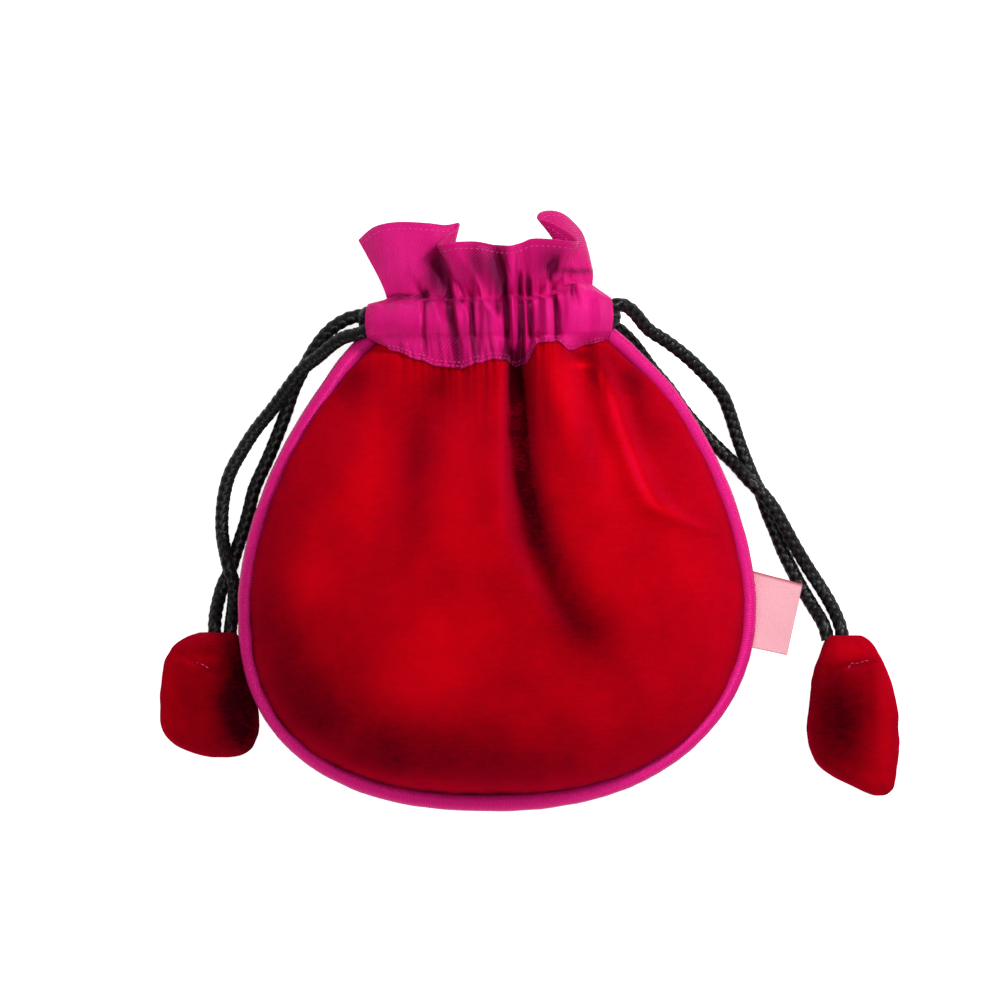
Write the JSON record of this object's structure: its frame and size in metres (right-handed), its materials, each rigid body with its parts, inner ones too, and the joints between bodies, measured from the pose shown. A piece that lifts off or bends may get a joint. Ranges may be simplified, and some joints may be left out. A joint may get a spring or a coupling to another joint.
{
  "type": "drawstring pouch",
  "caption": "Round velvet drawstring pouch with satin piping, a gathered satin neck with a ruffle, and looped drawcords that end in stuffed velvet stoppers.",
  "frame": {"origin": "on the back panel's resting face, below the widest part of the body", "axes": "+X to the pouch's right, +Y from the body towards the mouth, +Z away from the surface it lies on"},
  "size_m": [0.1967, 0.1601, 0.0447],
  "materials": {
    "velvet": "red cotton velvet, short dense pile",
    "lining_satin": "deep pink satin, plain side",
    "piping_satin": "deep pink satin over a cord, soft sheen",
    "neck_satin": "deep pink satin, gathered, soft sheen",
    "cord": "black braided cord, soft sheen",
    "stopper_velvet": "red cotton velvet, stuffed",
    "label_tape": "pale pink woven tape, matte"
  },
  "bodies": {
    "root": {"front_panel": "velvet", "back_panel": "velvet", "lining": "lining_satin", "piping": "piping_satin", "front_neck_band": "neck_satin", "back_neck_band": "neck_satin", "left_drawcord": "cord", "right_drawcord": "cord", "left_cord_stopper": "stopper_velvet", "right_cord_stopper": "stopper_velvet", "side_label": "label_tape"}
  },
  "joints": []
}
